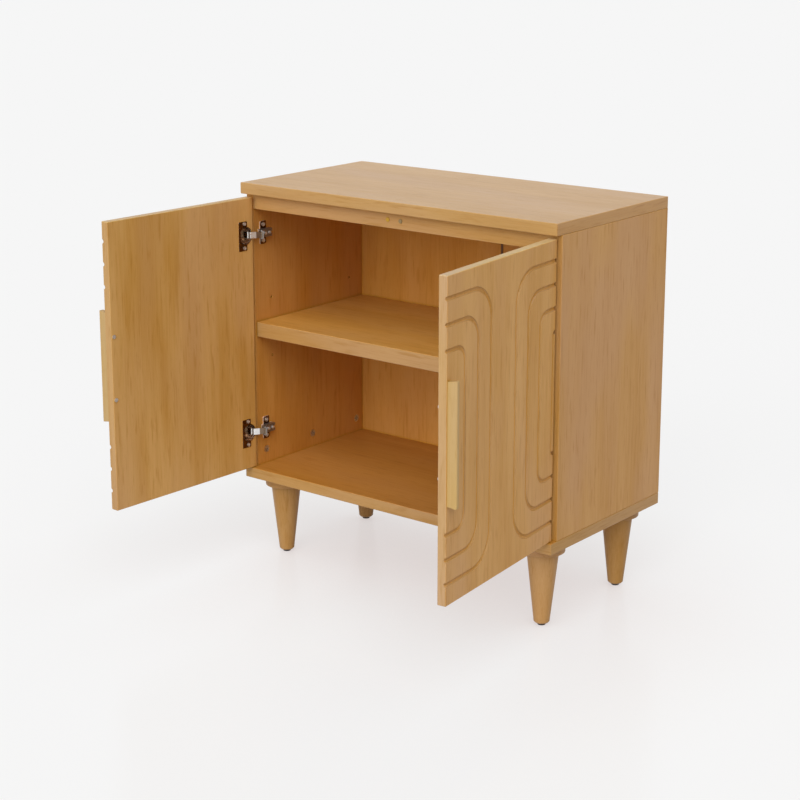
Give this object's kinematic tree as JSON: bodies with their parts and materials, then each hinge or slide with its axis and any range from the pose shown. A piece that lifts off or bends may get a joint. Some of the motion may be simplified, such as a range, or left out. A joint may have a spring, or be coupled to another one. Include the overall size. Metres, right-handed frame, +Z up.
{
  "type": "two-door storage side table",
  "caption": "Low storage side table on turned tapered legs: hinged doors with nested rounded grooves and bar handles open onto a shelf inside.",
  "frame": {"origin": "on the floor, midway between the four legs, under the middle of the top", "axes": "+X to the right along the front, +Y to the back, +Z up"},
  "size_m": [0.8175, 0.7285, 0.762],
  "materials": {
    "top_veneer": "satin clear-coated wood veneer, grain along X",
    "carcass_veneer": "satin clear-coated wood veneer",
    "door_veneer": "satin clear-coated wood veneer, grain upright, grooved face",
    "back_board": "matt wood-grain thin board, grain upright",
    "leg_wood": "satin clear-coated turned solid wood",
    "handle_wood": "satin clear-coated solid wood",
    "dowel_wood": "bare beech",
    "dark_nickel": "dark nickel-plated pressed steel",
    "bright_steel": "bright zinc-plated steel",
    "zinc": "die-cast zinc, matt",
    "brown_plastic": "matt brown extruded plastic",
    "black_plastic": "matt black moulded plastic",
    "amber_bumper": "soft amber stick-on pad",
    "grey_bumper": "soft grey stick-on pad"
  },
  "bodies": {
    "cabinet": {"top_panel": "top_veneer", "bottom_panel": "carcass_veneer", "left_side_panel": "carcass_veneer", "right_side_panel": "carcass_veneer", "top_front_rail": "carcass_veneer", "shelf": "carcass_veneer", "back_panel_left": "back_board", "back_panel_right": "back_board", "front_left_leg": "leg_wood", "front_right_leg": "leg_wood", "back_left_leg": "leg_wood", "back_right_leg": "leg_wood", "front_left_collar": "leg_wood", "front_right_collar": "leg_wood", "back_left_collar": "leg_wood", "back_right_collar": "leg_wood", "carcass_dowels": "dowel_wood", "rail_dowels": "dowel_wood", "left_upper_hinge_plate": "dark_nickel", "left_upper_hinge_arm": "dark_nickel", "left_lower_hinge_plate": "dark_nickel", "left_lower_hinge_arm": "dark_nickel", "right_upper_hinge_plate": "dark_nickel", "right_upper_hinge_arm": "dark_nickel", "right_lower_hinge_plate": "dark_nickel", "right_lower_hinge_arm": "dark_nickel", "hinge_plate_screws": "bright_steel", "hinge_adjusting_screws": "bright_steel", "hinge_arm_pins": "bright_steel", "shelf_pins": "bright_steel", "leg_bolts": "bright_steel", "top_cam_bolts": "bright_steel", "bottom_cam_bolts": "bright_steel", "top_cam_locks": "zinc", "bottom_cam_locks": "zinc", "leg_inserts": "zinc", "back_joint_strip": "brown_plastic", "leg_glides": "black_plastic", "left_door_bumper": "amber_bumper", "right_door_bumper": "grey_bumper"},
    "left_hinge_links": {"left_upper_hinge_link": "bright_steel", "left_lower_hinge_link": "bright_steel"},
    "left_door": {"left_door_panel": "door_veneer", "left_handle": "handle_wood", "left_handle_screws": "bright_steel", "left_hinge_cup_screws": "bright_steel", "left_hinge_cup_pins": "bright_steel", "left_upper_hinge_cup": "dark_nickel", "left_lower_hinge_cup": "dark_nickel"},
    "right_hinge_links": {"right_upper_hinge_link": "bright_steel", "right_lower_hinge_link": "bright_steel"},
    "right_door": {"right_door_panel": "door_veneer", "right_handle": "handle_wood", "right_handle_screws": "bright_steel", "right_hinge_cup_screws": "bright_steel", "right_hinge_cup_pins": "bright_steel", "right_upper_hinge_cup": "dark_nickel", "right_lower_hinge_cup": "dark_nickel"}
  },
  "joints": [
    {"name": "left_link_swing", "type": "hinge", "parent": "cabinet", "child": "left_hinge_links", "pos_m": [-0.334, -0.1655, 0.4595], "axis": [0, 0, -1], "range_deg": [-3.5, 25.05]},
    {"name": "left_door_swing", "type": "hinge", "parent": "left_hinge_links", "child": "left_door", "pos_m": [-0.35337, -0.18455, 0.4595], "axis": [0, 0, -1], "range_deg": [-117.35, 16]},
    {"name": "right_link_swing", "type": "hinge", "parent": "cabinet", "child": "right_hinge_links", "pos_m": [0.334, -0.1655, 0.4595], "axis": [0, 0, 1], "range_deg": [-2.5, 26.05]},
    {"name": "right_door_swing", "type": "hinge", "parent": "right_hinge_links", "child": "right_door", "pos_m": [0.35304, -0.18488, 0.4595], "axis": [0, 0, 1], "range_deg": [-122.05, 11.3]}
  ],
  "couplings": [
    {"joint": "left_link_swing", "follows": "left_door_swing", "ratio": -0.2126},
    {"joint": "right_link_swing", "follows": "right_door_swing", "ratio": -0.2126}
  ]
}
